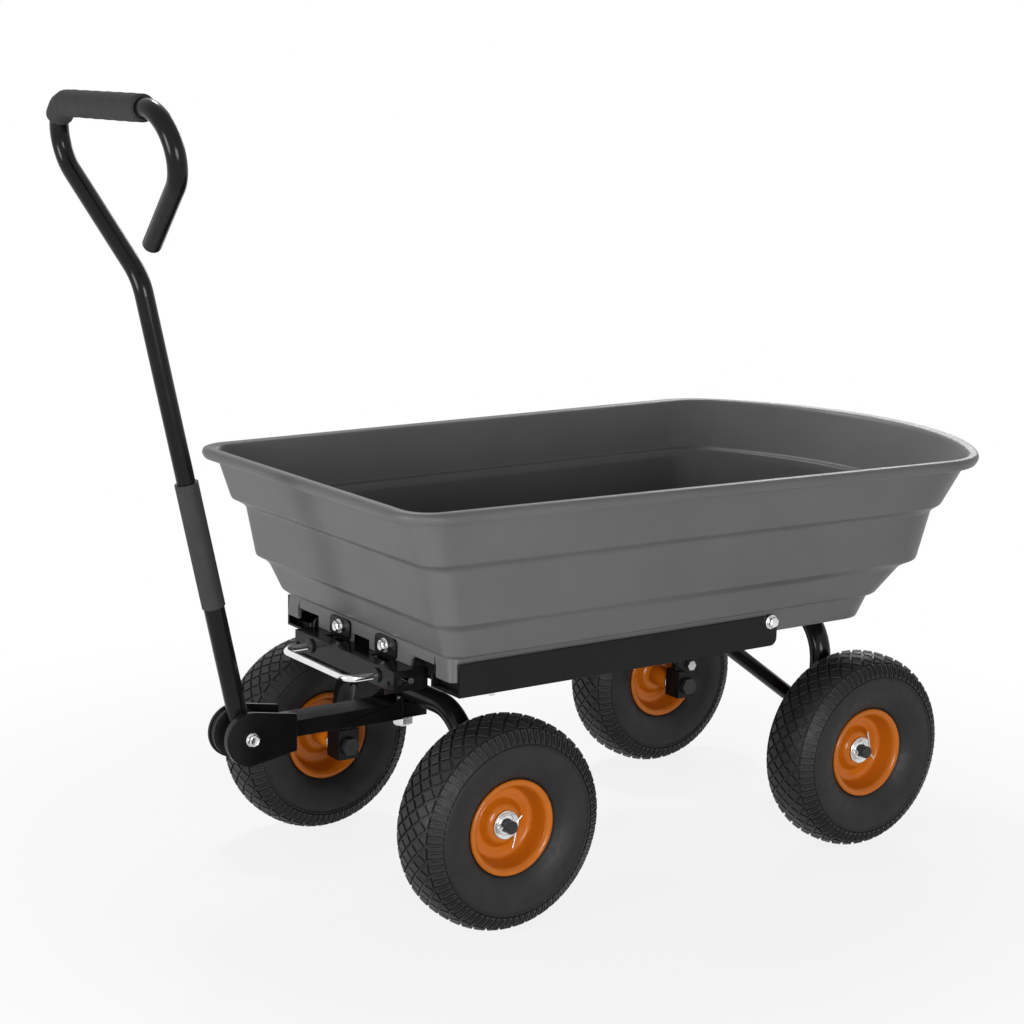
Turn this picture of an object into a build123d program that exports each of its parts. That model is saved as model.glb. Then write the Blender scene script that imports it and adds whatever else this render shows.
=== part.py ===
from build123d import *
import os
from math import sin, cos, tan, atan2, radians

os.makedirs("parts", exist_ok=True)

# Driving sizes in mm. +X points forward to the pull handle, +Y to the left, +Z up.
wheelbase = 570.0
track = 430.0
tyre_r = 130.0
tyre_half_w = 42.5
rim_r = 59.0
rim_half_w = 30.5
hub_r = 15.0
axle_r = 8.0
run_gap = 0.05
side_gap = 0.4

# Moulded tub: outer faces
skirt_w = 394.0
skirt_front = 58.0
skirt_rear = 70.0
skirt_bottom = 302.0
skirt_h = 28.0
low_band_h = 34.0
mid_band_h = 65.0
top_band_h = 49.0
step_h = 6.0
round_h = 4.5
lip_h = 20.0
lip_over = 18.0
rim_lip = 20.0
tub_wall = 4.0
floor_t = 5.0
pad_h = 7.0
pad_r = 12.0
bow_low = 520.0
bow_top = 385.0
side_taper = 0.045

# Pressed steel frame
sheet = 3.0
rail_drop = 17.0
rail_h = 40.0
rail_gap = 3.0
rail_flange = 61.0
rail_lip = 15.0
hinge_back = 142.0
hinge_up = 15.0
hinge_r = 6.0
bolster_len = 80.0
bolster_t = 4.0
bar_depth = 48.0
bar_half = 118.0
bar_drop = 26.0
wire_y = 79.0
wire_r = 4.5
rod_r = 4.0
wire_reach = 62.0
latch_travel = 12.0
tab_y = 54.0
tab_w = 48.0
tab_t = 3.0

# Axle arches, brackets and struts
arch_r = 14.0
arch_wall = 2.5
leg_inset = 69.0
bracket_w = 30.0
bracket_h = 40.0
bracket_over = 22.0
front_arch_z = 243.0
saddle_h = 29.0
front_bend = 62.0
rear_bend = 70.0
strut_r = 10.0
strut_half = 12.0
strut_inset = 25.0
strut_bolt_up = 10.0

# Tongue, clevis and pull handle
tongue_h = 20.0
tongue_wall = 2.5
king_r = 8.0
pivot_reach = 227.0
pivot_drop = 3.0
pivot_r = 5.0
eye_half = 13.0
eye_r = 20.0
disc_r = 31.0
disc_t = 8.0
plate_t = 4.0
handle_lean = 12.95
lower_r = 12.5
upper_r = 11.0
tube_wall = 1.8
sleeve_r = 14.0
sleeve_from = 166.0
sleeve_to = 321.0
neck_s = 566.0
top_s = 760.0
left_corner = -204.6
right_corner = 246.0
free_s = 608.0
free_y = 50.0
loop_bend = 47.0
grip_r = 15.5
grip_wrap = 58.0
grip_to = 102.0

# Wall of the tub from the skirt up: rise, and growth at the front, the sides and the rear
wall_parts = [
    (skirt_h, 0.0, 0.0, 3.0),
    (step_h, 7.0, 18.0, 12.0),
    (low_band_h, 15.0, 10.0, 38.0),
    (round_h, 4.0, 4.0, 7.0),
    (step_h, 10.0, 8.0, 18.0),
    (mid_band_h, 14.0, 8.0, 24.0),
    (round_h, 4.0, 4.0, 5.0),
    (step_h, 11.0, 9.0, 9.0),
    (top_band_h, 16.0, 11.0, 42.0),
]
tub_levels = [(skirt_bottom, 0.0, 0.0, 0.0)]
for part in wall_parts:
    tub_levels.append(tuple(a + b for a, b in zip(tub_levels[-1], part)))
rim_z = tub_levels[-1][0] + lip_over
lip_low = rim_z - lip_h
lip_levels = [(lip_low, -1.0), (rim_z - 8.0, 0.0), (rim_z - 3.0, -1.5), (rim_z, -5.0)]


def level_at(z):
    # tub level at any height, between the listed ones
    for low, high in zip(tub_levels, tub_levels[1:]):
        if low[0] <= z <= high[0]:
            t = (z - low[0]) / (high[0] - low[0])
            return tuple(a + (b - a) * t for a, b in zip(low, high))
    low, high = tub_levels[-2], tub_levels[-1]
    t = (z - low[0]) / (high[0] - low[0])
    return tuple(a + (b - a) * t for a, b in zip(low, high))


# The frame's origin sits under the middle of the whole cart
lean = radians(handle_lean)
rear_reach = -wheelbase / 2 - skirt_rear - max(level_at(z)[3] + rim_lip + g for z, g in lip_levels)
front_reach = wheelbase / 2 + pivot_reach + top_s * sin(lean) + grip_r
shift = -(rear_reach + front_reach) / 2
front_x = wheelbase / 2 + shift
rear_x = -wheelbase / 2 + shift
mid_x = shift
skirt_x = front_x + skirt_front
hinge_x = mid_x - hinge_back
axle_z = tyre_r
bar_top = skirt_bottom
floor_under = skirt_bottom + skirt_h + 1.0
hinge_z = skirt_bottom + hinge_up
rail_bottom = skirt_bottom - rail_drop
rail_top = rail_bottom + rail_h
rail_in = skirt_w / 2 + rail_gap
rail_out = rail_in + sheet


def hexagon(plane, across, height):
    # six-sided head or nut standing on a plane
    with BuildSketch(plane) as face:
        RegularPolygon(radius=across / 2, side_count=6, major_radius=False)
    extrude(face.sketch, amount=height)


def disc(plane, radius, height, hole=0.0):
    # round plate, washer or pin standing on a plane
    with BuildSketch(plane) as face:
        Circle(radius)
        if hole > 0:
            Circle(hole, mode=Mode.SUBTRACT)
    extrude(face.sketch, amount=height)


def bore(plane, radius, depth):
    with BuildSketch(plane) as face:
        Circle(radius)
    extrude(face.sketch, amount=depth, mode=Mode.SUBTRACT)


def block(x0, x1, y0, y1, z0, z1, mode=Mode.ADD):
    with BuildSketch(Plane.XY.offset(z0)) as face:
        with Locations(((x0 + x1) / 2, (y0 + y1) / 2)):
            Rectangle(x1 - x0, y1 - y0)
    extrude(face.sketch, amount=z1 - z0, mode=mode)


def sideways(x, y, z, side):
    # plane whose normal points out of the cart's left or right side
    return Plane(origin=(x, y, z), x_dir=(1, 0, 0), z_dir=(0, side, 0))


def save(piece, name):
    piece.part.label = name
    export_step(piece.part, "parts/" + name + ".step")


def tub_outline(level, grow):
    z, fwd, out, back = level
    rise = (z - skirt_bottom) / (rim_z - skirt_bottom)
    taper = side_taper * rise
    xf = skirt_x + fwd + grow
    xr = rear_x - skirt_rear - back - grow
    half = skirt_w / 2 + out + grow
    wf = half - taper * (xf - mid_x)
    bow_r = bow_low + (bow_top - bow_low) * rise
    # corner where the straight side meets the bowed rear edge
    xc = xr
    for _ in range(12):
        wc = half - taper * (xc - mid_x)
        sag = bow_r - (bow_r ** 2 - wc ** 2) ** 0.5
        xc = xr + sag
    rear_fillet = 46.0 + 50.0 * rise + grow
    front_fillet = 24.0 + 10.0 * rise + grow
    with BuildSketch(Plane.XY.offset(z)) as outline:
        with BuildLine():
            Line((xf, -wf), (xf, wf))
            Line((xf, wf), (xc, wc))
            ThreePointArc((xc, wc), (xr, 0), (xc, -wc))
            Line((xc, -wc), (xf, -wf))
        make_face()
        fillet(outline.vertices().group_by(Axis.X)[-1], front_fillet)
        fillet(outline.vertices().group_by(Axis.X)[0], rear_fillet)
    return outline.sketch


floor_top = floor_under + floor_t
inner_heights = [floor_top] + [level[0] for level in tub_levels[3:9]] + [rim_z + 1.0]
rear_arch_z = floor_under - saddle_h
plate_top = floor_under - pad_h
plate_low = plate_top - plate_t
leg_y = track / 2 - leg_inset
strut_y = leg_y - strut_inset
bracket_top = axle_z + bracket_over
strut_bolt_z = bracket_top + strut_bolt_up
saddle_y = 46.0
saddle_bolt = 30.0
strut_top_x = rear_x + 221.0
floor_points = [
    (rear_x + dx, side * saddle_y) for dx in (-saddle_bolt, saddle_bolt) for side in (1, -1)
]
floor_points += [(strut_top_x, side * strut_y) for side in (1, -1)]
tab_bolt_z = skirt_bottom + 15.0
small_r = 4.0
small_hole = small_r + 0.3
small_across = 13.0
small_head = 5.5
small_nut = 6.0
screw_len = plate_t + pad_h + floor_t - 3.0
ear_in = bar_half - sheet
ear_x = skirt_x - 5.0
ear_z = bar_top + 3.0
ear_r = 9.0
notch_gap = 3.0
boss_r = 14.0
boss_t = 10.0
bush_r = hinge_r + 2.5
skirt_half = skirt_w / 2

with BuildPart() as tub:
    loft([tub_outline(level, 0.0) for level in tub_levels], ruled=True)
    loft([tub_outline(level_at(z), rim_lip + g) for z, g in lip_levels], ruled=True)
    loft([tub_outline(level_at(z), -tub_wall) for z in inner_heights], ruled=True, mode=Mode.SUBTRACT)
    # open hollow below the floor, inside the skirt
    under = tub_outline(tub_levels[0], -tub_wall)
    extrude(under, amount=floor_under - skirt_bottom, mode=Mode.SUBTRACT)
    # turned-down lip is hollow underneath
    groove = [tub_outline(level_at(z), rim_lip - tub_wall) for z in (lip_low - 1, rim_z - tub_wall)]
    keep = [tub_outline(level_at(z), 0.6) for z in (lip_low - 2, rim_z - tub_wall + 1)]
    channel = loft(groove, ruled=True, mode=Mode.PRIVATE) - loft(keep, ruled=True, mode=Mode.PRIVATE)
    add(channel, mode=Mode.SUBTRACT)
    # hinge bosses on the inside of the skirt, and their through holes
    for side in (1, -1):
        disc(sideways(hinge_x, side * (skirt_half - tub_wall / 2), hinge_z, -side), boss_r - 1, boss_t)
        bore(sideways(hinge_x, side * (skirt_half + 1), hinge_z, -side), bush_r, boss_t + tub_wall + 2)
    # cut-outs in the front skirt for the latch bar's ears and a middle finger notch
    for mid, half in ((ear_in + sheet / 2, 5.0), (-ear_in - sheet / 2, 5.0), (0.0, 12.0)):
        top = ear_z + ear_r + notch_gap if mid else skirt_bottom + 9.0
        block(skirt_x - 9, skirt_x + 4, mid - half, mid + half, skirt_bottom - 1, top, Mode.SUBTRACT)
    for side in (1, -1):
        bore(Plane(origin=(skirt_x + 4, side * tab_y, tab_bolt_z), z_dir=(-1, 0, 0)), small_hole, 12)
    # pads under the floor with blind holes for the screws
    for bx, by in floor_points:
        disc(Plane(origin=(bx, by, plate_top)), pad_r, pad_h + floor_t / 2)
        bore(Plane(origin=(bx, by, plate_top - 1)), small_r + run_gap, screw_len - plate_t + 2)
save(tub, "tub")

with BuildPart() as hinge_bushes:
    for side in (1, -1):
        start = sideways(hinge_x, side * (skirt_half + 1), hinge_z, -side)
        disc(start, bush_r, boss_t + tub_wall / 2 + 2, hinge_r + run_gap)
save(hinge_bushes, "hinge_bushes")

# Strike tabs: bolted to the skirt, with a foot that lies under the latch rod
wire_z = bar_top - bar_drop / 2
foot_top = wire_z - rod_r - 1.0
leg_half = tab_w / 2 - 6.0
rod_x = skirt_x + tab_t + 1.0 + rod_r
foot_len = 10.0
with BuildPart() as strike_tabs:
    for side in (1, -1):
        with BuildSketch(Plane(origin=(skirt_x, side * tab_y, 0), x_dir=(0, 1, 0), z_dir=(1, 0, 0))) as plate:
            with Locations((0, skirt_bottom + 0.5 + (skirt_h - 2.5) / 2)):
                Rectangle(tab_w, skirt_h - 2.5)
            fillet(plate.vertices().group_by(Axis.Z)[-1], 7)
            with Locations((0, (foot_top - tab_t + skirt_bottom + 1) / 2)):
                Rectangle(2 * leg_half, skirt_bottom + 1 - foot_top + tab_t)
            with Locations((0, tab_bolt_z)):
                Circle(small_hole, mode=Mode.SUBTRACT)
        extrude(amount=tab_t)
        y0 = side * tab_y
        block(skirt_x, skirt_x + foot_len, y0 - leg_half, y0 + leg_half, foot_top - tab_t, foot_top)
save(strike_tabs, "strike_tabs")

# Frame rails: channels that the skirt drops into
rail_rear = hinge_x - 11.0
flange_rear = hinge_x + 27.0
rail_front = skirt_x - 7.0
bolster_x0 = front_x - bolster_len / 2
bolster_x1 = front_x + bolster_len / 2
rail_bolt_y = rail_out - 13.0
bolster_top = rail_bottom + sheet + bolster_t
frame_bolts = [(front_x, side * rail_bolt_y) for side in (1, -1)]


def rail(name, side):
    with BuildPart() as piece:
        with BuildSketch(sideways(0, side * rail_in, 0, side)) as web:
            up = -side
            with BuildLine():
                Polyline(
                    (rail_front, up * rail_bottom), (rail_front, up * rail_top),
                    (rail_rear, up * rail_top), (rail_rear, up * rail_bottom),
                    close=True,
                )
            make_face()
            fillet(web.vertices().group_by(Axis.X)[0], 10)
            with Locations((hinge_x, up * hinge_z)):
                Circle(hinge_r + 0.2, mode=Mode.SUBTRACT)
        extrude(amount=sheet)
        y0, y1 = sorted((side * (rail_out - rail_flange), side * rail_out))
        block(flange_rear, rail_front, y0, y1, rail_bottom, rail_bottom + sheet)
        y0, y1 = sorted((side * (rail_out - rail_flange), side * (rail_out - rail_flange + sheet)))
        lip_top = rail_bottom + rail_lip
        block(flange_rear, bolster_x0 - 1, y0, y1, rail_bottom, lip_top)
        block(bolster_x1 + 1, rail_front, y0, y1, rail_bottom, lip_top)
        for bx, by in frame_bolts:
            bore(Plane(origin=(bx, by, rail_bottom - 1)), small_hole, sheet + 2)
    save(piece, name)


rail("rail_left", 1)
rail("rail_right", -1)

with BuildPart() as bolster:
    half = rail_in - 3.0
    block(bolster_x0, bolster_x1, -half, half, rail_bottom + sheet, bolster_top)
    bore(Plane(origin=(front_x, 0, rail_bottom)), king_r + 0.2, 20)
    for bx, by in frame_bolts:
        bore(Plane(origin=(bx, by, rail_bottom)), small_hole, 20)
save(bolster, "bolster")

# Latch bar: inverted channel across the nose, with rounded ears at its ends
bar_x0 = bolster_x1
bar_x1 = bar_x0 + bar_depth
bar_low = bar_top - bar_drop
slot_gap = 0.5
with BuildPart() as latch_bar:
    block(bar_x0, bar_x1, -bar_half, bar_half, bar_low, bar_top)
    block(bar_x0 + sheet, bar_x1 - sheet, -ear_in, ear_in, bar_low, bar_top - sheet, Mode.SUBTRACT)
    for side in (1, -1):
        face = sideways(0, side * ear_in, 0, side)
        with BuildSketch(face):
            with Locations((ear_x, -side * ear_z)):
                Circle(ear_r)
            with Locations((ear_x, -side * (bar_top - 2 + ear_z) / 2)):
                Rectangle(2 * ear_r, ear_z - bar_top + 2)
        extrude(amount=sheet)
        with BuildSketch(face):
            with Locations((ear_x, -side * (ear_z + 2))):
                Circle(3.2)
            with Locations((rod_x + latch_travel / 2, -side * wire_z)):
                SlotOverall(latch_travel + 2 * (rod_r + slot_gap), 2 * (rod_r + slot_gap))
        extrude(amount=sheet, mode=Mode.SUBTRACT)
        y0 = side * tab_y
        reach = leg_half + 2
        x0, x1 = skirt_x - 1.5, skirt_x + foot_len + 3
        block(x0, x1, y0 - reach, y0 + reach, bar_top - 5, bar_top + 1, Mode.SUBTRACT)
        hole = Plane(origin=(bar_x1 + 1, side * wire_y, wire_z), z_dir=(-1, 0, 0))
        bore(hole, wire_r + 2.0, sheet + 2)
    for side in (1, -1):
        with BuildSketch(Plane(origin=(bar_x1 + 1, 0, 0), x_dir=(0, 1, 0), z_dir=(1, 0, 0))):
            with Locations((side * (bar_half - 9), bar_low + 9)):
                SlotOverall(10, 5)
        extrude(amount=-sheet - 2, mode=Mode.SUBTRACT)
save(latch_bar, "latch_bar")

with BuildPart() as wire_collars:
    for side in (1, -1):
        hole = Plane(origin=(bar_x1 - sheet, side * wire_y, wire_z), z_dir=(1, 0, 0))
        disc(hole, wire_r + 2.0, sheet + 0.001, wire_r + run_gap)
        disc(hole.offset(sheet), wire_r + 4.5, 3.0, wire_r + run_gap)
save(wire_collars, "wire_collars")

# Latch pull: bent wire loop welded to the cross rod
wire_front = rod_x + wire_reach
with BuildPart() as latch_wire:
    with BuildLine() as loop:
        FilletPolyline(
            (rod_x, wire_y, wire_z), (wire_front, wire_y, wire_z),
            (wire_front, -wire_y, wire_z), (rod_x, -wire_y, wire_z), radius=16,
        )
    with BuildSketch(Plane(origin=(rod_x, wire_y, wire_z), z_dir=(1, 0, 0))):
        Circle(wire_r)
    sweep()
    reach = bar_half + 4.0
    disc(Plane(origin=(rod_x, -reach, wire_z), z_dir=(0, 1, 0)), rod_r, 2 * reach)
save(latch_wire, "latch_wire")

# Return springs: open coils between the bar's rear wall and the rod
spring_y = 100.0
spring_r = 4.0
spring_wire = 0.7
spring_turns = 4
spring_x0 = bar_x0 + sheet + 1.2
spring_x1 = rod_x - rod_r - 1.2
pitch = (spring_x1 - spring_x0) / spring_turns


def coil_point(y, t):
    a = radians(360 * t)
    return (spring_x0 + pitch * t, y + spring_r * cos(a), wire_z + spring_r * sin(a))


with BuildPart() as latch_springs:
    for y in (spring_y, -spring_y):
        with BuildLine() as coil:
            for k in range(4 * spring_turns):
                t = k / 4
                ThreePointArc(coil_point(y, t), coil_point(y, t + 0.125), coil_point(y, t + 0.25))
        start = coil.wires()[0]
        with BuildSketch(Plane(origin=start @ 0, z_dir=start % 0)):
            Circle(spring_wire)
        sweep(path=start)
save(latch_springs, "latch_springs")

# Fasteners of the frame and of the tub
with BuildPart() as pivot_bolts:
    for side in (1, -1):
        out = side * (rail_out + 2.0)
        hexagon(sideways(hinge_x, out, hinge_z, side), 19, 8)
        disc(sideways(hinge_x, out, hinge_z, -side), hinge_r, 36)
save(pivot_bolts, "pivot_bolts")

with BuildPart() as pivot_washers:
    for side in (1, -1):
        disc(sideways(hinge_x, side * rail_out, hinge_z, side), 11.4, 2.0, hinge_r + 0.2)
save(pivot_washers, "pivot_washers")

with BuildPart() as pivot_nuts:
    for side in (1, -1):
        nut = sideways(hinge_x, side * (rail_out - 23.5), hinge_z, -side)
        hexagon(nut, 19, 8)
        bore(nut, hinge_r, 8)
save(pivot_nuts, "pivot_nuts")

with BuildPart() as rail_bolts:
    for bx, by in frame_bolts:
        head = Plane(origin=(bx, by, rail_bottom), z_dir=(0, 0, -1))
        hexagon(head, small_across, small_head)
        disc(head.offset(-14), small_r, 14)
save(rail_bolts, "rail_bolts")

with BuildPart() as rail_nuts:
    for bx, by in frame_bolts:
        nut = Plane(origin=(bx, by, bolster_top))
        hexagon(nut, 13, 6)
        bore(nut, small_r, 6)
save(rail_nuts, "rail_nuts")

with BuildPart() as tab_bolts:
    for side in (1, -1):
        head = Plane(origin=(skirt_x + tab_t + 2, side * tab_y, tab_bolt_z), z_dir=(1, 0, 0))
        hexagon(head, small_across, small_head)
        disc(head.offset(-19), small_r, 19)
save(tab_bolts, "tab_bolts")

with BuildPart() as tab_washers:
    for side in (1, -1):
        face = Plane(origin=(skirt_x + tab_t, side * tab_y, tab_bolt_z), z_dir=(1, 0, 0))
        disc(face, 8.5, 2, small_hole)
save(tab_washers, "tab_washers")

with BuildPart() as floor_screws:
    for bx, by in floor_points:
        head = Plane(origin=(bx, by, plate_low), z_dir=(0, 0, -1))
        hexagon(head, small_across, small_head)
        disc(head.offset(-screw_len), small_r, screw_len)
save(floor_screws, "floor_screws")

with BuildPart() as tub_nuts:
    seats = []
    for side in (1, -1):
        seats.append(Plane(origin=(skirt_x - tub_wall, side * tab_y, tab_bolt_z), z_dir=(-1, 0, 0)))
        seats.append(sideways(rear_x, side * (leg_y + arch_r), strut_bolt_z, side))
    for seat in seats:
        hexagon(seat, small_across, small_nut)
        bore(seat, small_r, small_nut)
save(tub_nuts, "tub_nuts")


# Axle arches: bent tube with a leg on each side
def arch(name, x, top, bend, holes):
    with BuildPart() as piece:
        with BuildLine() as path:
            FilletPolyline(
                (x, leg_y, bracket_top), (x, leg_y, top),
                (x, -leg_y, top), (x, -leg_y, bracket_top), radius=bend,
            )
        with BuildSketch(Plane(origin=(x, leg_y, bracket_top))):
            Circle(arch_r)
            Circle(arch_r - arch_wall, mode=Mode.SUBTRACT)
        sweep()
        for plane, radius, depth in holes:
            bore(plane, radius, depth)
    save(piece, name)


king_hole = (Plane(origin=(front_x, 0, front_arch_z - 30)), king_r + run_gap, 60)
strut_holes = [(sideways(rear_x, -leg_y - 30, strut_bolt_z, 1), small_hole, 2 * leg_y + 60)]
arch("front_arch", front_x, front_arch_z, front_bend, [king_hole])
arch("rear_arch", rear_x, rear_arch_z, rear_bend, strut_holes)

with BuildPart() as arch_saddles:
    for side in (1, -1):
        y0 = side * saddle_y
        block(rear_x - 42, rear_x + 42, y0 - 17, y0 + 17, plate_low, plate_top)
        block(rear_x - 18, rear_x + 18, y0 - 14, y0 + 14, rear_arch_z, plate_low)
        bore(sideways(rear_x, y0 - 20, rear_arch_z, 1), arch_r, 40)
    for bx, by in floor_points[:4]:
        bore(Plane(origin=(bx, by, plate_low - 1)), small_hole, plate_t + 2)
save(arch_saddles, "arch_saddles")


# Axle brackets: square boxes under the arch legs, open below
def brackets(name, x):
    with BuildPart() as piece:
        for side in (1, -1):
            y0 = side * leg_y
            half = bracket_w / 2
            low = bracket_top - bracket_h
            block(x - half, x + half, y0 - half, y0 + half, low, bracket_top)
            inner = half - 3
            block(x - inner, x + inner, y0 - inner, y0 + inner, low - 1, bracket_top - 3, Mode.SUBTRACT)
            bore(sideways(x, y0 - half - 1, axle_z, 1), axle_r, bracket_w + 2)
    save(piece, name)


brackets("front_brackets", front_x)
brackets("rear_brackets", rear_x)

# Struts: flattened at both ends, from the rear legs up to the tub floor
strut_rise = atan2(plate_top - 2 - strut_bolt_z, strut_top_x - rear_x)
along = (cos(strut_rise), 0, sin(strut_rise))
with BuildPart() as struts:
    for side in (1, -1):
        flat = side * (strut_y + strut_r)
        base = Plane(origin=(rear_x, side * strut_y, strut_bolt_z), z_dir=along)
        disc(base.offset(26), strut_r, 245)
        eye = Plane(origin=(rear_x, flat, strut_bolt_z), x_dir=along, z_dir=(0, -side, 0))
        with BuildSketch(eye):
            with Locations((16, 0)):
                SlotOverall(60, 24)
        extrude(amount=5)
        y0, y1 = side * strut_y - strut_half, side * strut_y + strut_half
        x0, x1 = strut_top_x - 40, strut_top_x + strut_half + 2
        block(x0, x1, y0, y1, plate_low, plate_top)
        bore(eye.offset(-2), small_hole, 4 * strut_r)
        # the tube is cut off above the plate, and below it in front of its bend
        block(x0 - 40, x1 + 99, y0, y1, plate_top, plate_top + 8 * strut_r, Mode.SUBTRACT)
        block(strut_top_x - 9, x1 + 99, y0, y1, plate_low - 4 * strut_r, plate_low, Mode.SUBTRACT)
        bore(Plane(origin=(strut_top_x, side * strut_y, plate_low - 1)), small_hole, plate_t + 2)
save(struts, "struts")

with BuildPart() as strut_bolts:
    for side in (1, -1):
        head = sideways(rear_x, side * (strut_y + strut_r - 5), strut_bolt_z, -side)
        hexagon(head, small_across, small_head)
        disc(head.offset(-42), small_r, 42)
save(strut_bolts, "strut_bolts")

# Stub axles with washers and split pins
bracket_out = leg_y + bracket_w / 2
washer_t = 3.0
hub_in = bracket_out + washer_t + 2 * side_gap
hub_out = track / 2 + 14.0
axle_end = track / 2 + 30.0
pin_y = hub_out + side_gap + washer_t + 4.5


def axles(front, x):
    with BuildPart() as stubs:
        for side in (1, -1):
            head = sideways(x, side * (leg_y - bracket_w / 2), axle_z, -side)
            hexagon(head, 22, 7)
            disc(head, axle_r, -(axle_end - leg_y + bracket_w / 2))
            chamfer(stubs.edges().group_by(Axis.Y)[-1 if side > 0 else 0], 1.2)
            bore(Plane(origin=(x, side * pin_y, axle_z - 20)), 2.0, 40)
    save(stubs, front + "_axles")
    with BuildPart() as washers:
        for side in (1, -1):
            for y in (bracket_out + side_gap, hub_out + side_gap):
                disc(sideways(x, side * y, axle_z, side), 15.5, washer_t, axle_r + 0.2)
    save(washers, front + "_washers")
    with BuildPart() as pins:
        for side in (1, -1):
            disc(Plane(origin=(x, side * pin_y, axle_z - 15)), 1.9, 26)
            with BuildSketch(Plane(origin=(x, side * pin_y, axle_z + 13.5), x_dir=(1, 0, 0), z_dir=(0, 1, 0))):
                Circle(4.2)
                Circle(1.8, mode=Mode.SUBTRACT)
            extrude(amount=1.2, both=True)
    save(pins, front + "_pins")


axles("front", front_x)
axles("rear", rear_x)

# Tongue tube under the front arch, with gussets and clevis plates
clevis_in = eye_half + disc_t + 0.3
pivot_x = front_x + pivot_reach
tongue_top = front_arch_z - arch_r
tongue_low = tongue_top - tongue_h
pivot_z = (tongue_low + tongue_top) / 2 - pivot_drop
tongue_end = pivot_x - disc_r - 5.0
tongue_back = front_x - 22.0
with BuildPart() as tongue:
    wall = tongue_wall
    block(tongue_back, tongue_end, -clevis_in, clevis_in, tongue_low, tongue_top)
    block(
        tongue_back - 1, tongue_end + 1, -clevis_in + wall, clevis_in - wall,
        tongue_low + wall, tongue_top - wall, Mode.SUBTRACT,
    )
    bore(Plane(origin=(front_x, 0, tongue_low - 1)), king_r + run_gap, tongue_h + 2)
save(tongue, "tongue")

with BuildPart() as gussets:
    for side in (1, -1):
        with BuildSketch(sideways(0, side * clevis_in, 0, side)):
            with BuildLine():
                Polyline(
                    (front_x + arch_r + 1, -side * tongue_low), (front_x + 95, -side * tongue_low),
                    (front_x + 95, -side * (tongue_low + 6)), (front_x + 30, -side * tongue_top),
                    (front_x + arch_r + 1, -side * (tongue_top + 9)), close=True,
                )
            make_face()
        extrude(amount=3)
save(gussets, "gussets")

with BuildPart() as clevis_plates:
    for side in (1, -1):
        with BuildSketch(sideways(pivot_x, side * clevis_in, pivot_z, side)):
            Circle(disc_r + 2)
            with Locations((-58, 0)):
                Rectangle(6, 46)
            make_hull()
            Circle(pivot_r + 0.2, mode=Mode.SUBTRACT)
        extrude(amount=plate_t)
save(clevis_plates, "clevis_plates")

with BuildPart() as clevis_bolt:
    head = sideways(pivot_x, clevis_in + plate_t, pivot_z, 1)
    hexagon(head, 17, 6.5)
    disc(head, pivot_r, -(2 * (clevis_in + plate_t) + 10))
save(clevis_bolt, "clevis_bolt")

with BuildPart() as clevis_nut:
    nut = sideways(pivot_x, -clevis_in - plate_t, pivot_z, -1)
    hexagon(nut, 17, 8)
    bore(nut, pivot_r, 8)
save(clevis_nut, "clevis_nut")

# Kingpin, its sleeve on the arch and the domed nut below the tongue
sleeve_top = rail_bottom + sheet
with BuildPart() as king_sleeve:
    disc(Plane(origin=(front_x, 0, front_arch_z)), arch_r + 5, sleeve_top - front_arch_z)
    bore(sideways(front_x, -40, front_arch_z, 1), arch_r, 80)
    bore(Plane(origin=(front_x, 0, front_arch_z)), king_r + run_gap, 60)
save(king_sleeve, "king_sleeve")

nut_top = tongue_low - 1.0
with BuildPart() as kingpin:
    disc(Plane(origin=(front_x, 0, nut_top - 13)), king_r, bolster_top - nut_top + 13)
    disc(Plane(origin=(front_x, 0, bolster_top)), 13, 5)
save(kingpin, "kingpin")

with BuildPart() as kingpin_nut:
    nut = Plane(origin=(front_x, 0, nut_top), z_dir=(0, 0, -1))
    hexagon(nut, 24, 14)
    chamfer(kingpin_nut.faces().sort_by(Axis.Z)[0].edges(), 3)
    bore(nut, king_r, 13)
save(kingpin_nut, "kingpin_nut")

# Pull handle: eye and discs in the clevis, lower tube, sleeve, bent loop and grip
hand = Plane(origin=(pivot_x, 0, pivot_z), x_dir=(0, 1, 0), z_dir=(cos(lean), 0, -sin(lean)))
rise = (sin(lean), 0, cos(lean))


def up_handle(s):
    return Plane(origin=(pivot_x + s * rise[0], 0, pivot_z + s * rise[2]), z_dir=rise)


lower_in = upper_r
with BuildPart() as handle_eye:
    disc(sideways(pivot_x, -eye_half, pivot_z, 1), eye_r, 2 * eye_half)
    disc(up_handle(0), lower_in, 60)
    bore(sideways(pivot_x, -eye_half - 1, pivot_z, 1), pivot_r + run_gap, 2 * eye_half + 2)
save(handle_eye, "handle_eye")

with BuildPart() as friction_discs:
    for side in (1, -1):
        disc(sideways(pivot_x, side * eye_half, pivot_z, side), disc_r, disc_t, pivot_r + run_gap)
save(friction_discs, "friction_discs")

with BuildPart() as handle_tube:
    disc(up_handle(eye_r + 2), lower_r, sleeve_to - eye_r - 2, lower_in)
save(handle_tube, "handle_tube")

with BuildPart() as handle_sleeve:
    disc(up_handle(sleeve_from), sleeve_r, sleeve_to - sleeve_from, lower_r)
    chamfer(handle_sleeve.faces().sort_by(Axis.Z)[0].edges().sort_by(SortBy.LENGTH)[-1], 1)
save(handle_sleeve, "handle_sleeve")

with BuildPart() as handle_loop:
    with BuildLine(hand) as path:
        FilletPolyline(
            (0, sleeve_to - 40), (0, neck_s), (left_corner, top_s),
            (right_corner, top_s), (free_y, free_s), radius=loop_bend,
        )
    with BuildSketch(up_handle(sleeve_to - 40)):
        Circle(upper_r)
        Circle(upper_r - tube_wall, mode=Mode.SUBTRACT)
    sweep()
save(handle_loop, "handle_loop")

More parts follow.
